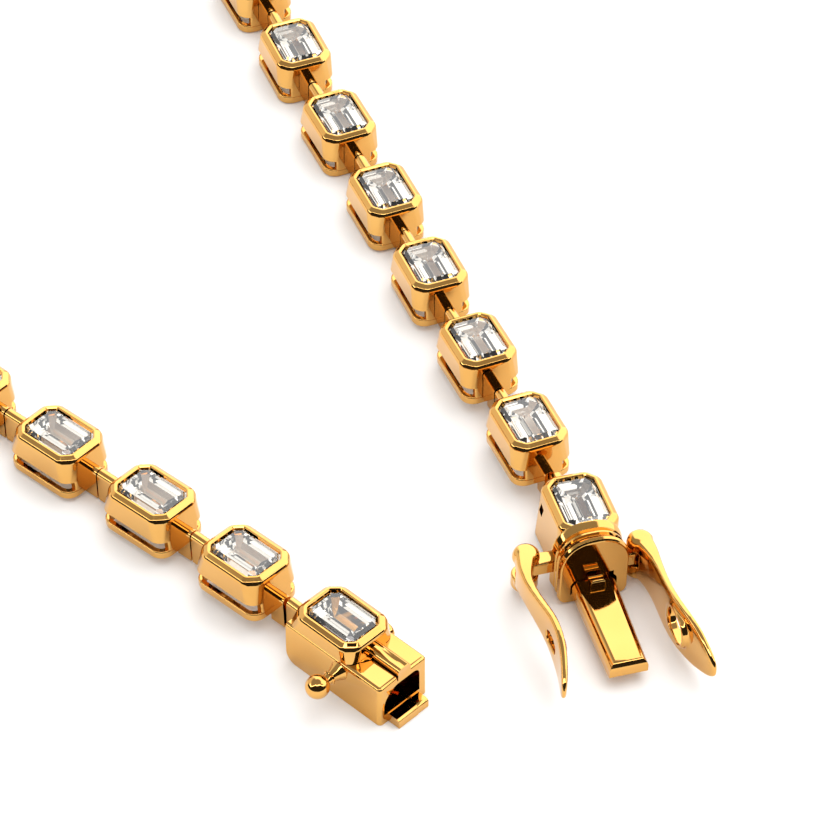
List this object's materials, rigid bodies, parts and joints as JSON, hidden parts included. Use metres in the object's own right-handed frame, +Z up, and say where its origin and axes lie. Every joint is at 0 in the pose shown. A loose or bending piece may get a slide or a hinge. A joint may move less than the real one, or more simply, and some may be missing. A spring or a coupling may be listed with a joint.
{
  "type": "tennis necklace",
  "caption": "Loop of bezel-set step-cut stones on gold plate links, lying open, with a box-and-tongue clasp, a ball stud, a low button and hinged safety levers.",
  "frame": {"origin": "on the surface under the middle of the loop's bounding box", "axes": "+Z up; the clasp lies towards -Y, the middle of the chain towards +Y"},
  "size_m": [0.132, 0.1774, 0.0076],
  "materials": {
    "gold": "mirror-polished yellow gold",
    "stone": "clear, step-cut and polished"
  },
  "bodies": {
    "necklace": {"box_body": "gold", "tongue_body": "gold", "tongue": "gold", "link_left_01": "gold", "link_left_02": "gold", "link_left_03": "gold", "link_left_04": "gold", "link_left_05": "gold", "link_left_06": "gold", "link_left_07": "gold", "link_left_08": "gold", "link_left_09": "gold", "link_left_10": "gold", "link_left_11": "gold", "link_left_12": "gold", "link_left_13": "gold", "link_left_14": "gold", "link_left_15": "gold", "link_right_01": "gold", "link_right_02": "gold", "link_right_03": "gold", "link_right_04": "gold", "link_right_05": "gold", "link_right_06": "gold", "link_right_07": "gold", "link_right_08": "gold", "link_right_09": "gold", "link_right_10": "gold", "link_right_11": "gold", "link_right_12": "gold", "link_right_13": "gold", "link_right_14": "gold", "link_right_15": "gold", "link_middle": "gold", "stone_box": "stone", "stone_tongue": "stone", "stone_left_01": "stone", "stone_left_02": "stone", "stone_left_03": "stone", "stone_left_04": "stone", "stone_left_05": "stone", "stone_left_06": "stone", "stone_left_07": "stone", "stone_left_08": "stone", "stone_left_09": "stone", "stone_left_10": "stone", "stone_right_01": "stone", "stone_right_02": "stone", "stone_right_03": "stone", "stone_right_04": "stone", "stone_right_05": "stone", "stone_right_06": "stone", "stone_right_07": "stone", "stone_right_08": "stone", "stone_right_09": "stone", "stone_right_10": "stone"},
    "left_lever": {"lever_left": "gold"},
    "right_lever": {"lever_right": "gold"}
  },
  "joints": [
    {"name": "left_lever_hinge", "type": "hinge", "parent": "necklace", "child": "left_lever", "pos_m": [0.04882, -0.07151, 0.00035], "axis": [0.0334, 0.0102, 0.9994], "range_deg": [-40, 15]},
    {"name": "right_lever_hinge", "type": "hinge", "parent": "necklace", "child": "right_lever", "pos_m": [0.05943, -0.06931, -0.00003], "axis": [0.0334, 0.0102, 0.9994], "range_deg": [-8, 40]}
  ]
}
